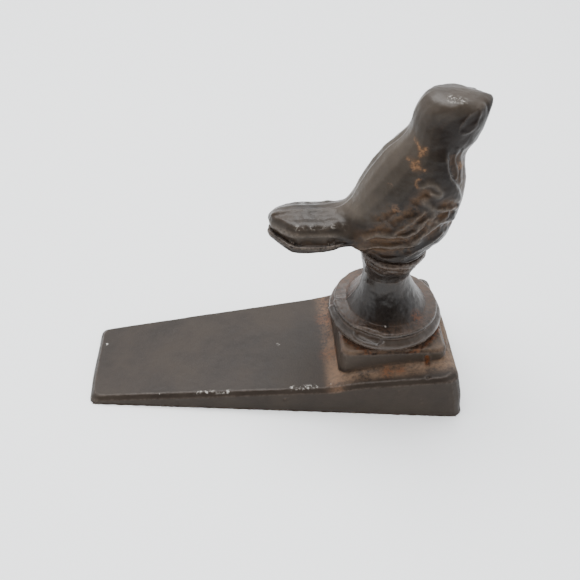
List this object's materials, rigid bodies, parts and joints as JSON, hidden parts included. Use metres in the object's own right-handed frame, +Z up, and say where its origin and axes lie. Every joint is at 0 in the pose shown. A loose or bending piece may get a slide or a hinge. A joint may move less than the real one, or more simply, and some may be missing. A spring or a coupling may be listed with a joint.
{
  "type": "door stop",
  "caption": "Cast iron wedge door stop with a small bird standing on a turned pedestal at its thick end.",
  "frame": {"origin": "on the floor, under the middle of the wedge's length and width", "axes": "+X from the thin toe to the thick heel, the way the bird looks; +Z up"},
  "size_m": [0.14, 0.065, 0.1194],
  "materials": {
    "wedge_iron": "dark brown lacquer, semi-gloss, with rust in the corners",
    "pedestal_iron": "dark brown lacquer, semi-gloss, with rust in the corners",
    "bird_iron": "dark brown lacquer, semi-gloss, rust brown in the feather hollows",
    "steel": "zinc plated"
  },
  "bodies": {
    "root": {"wedge_base": "wedge_iron", "pedestal": "pedestal_iron", "bird": "bird_iron", "fixing_screw": "steel", "plain_washer": "steel"}
  },
  "joints": []
}
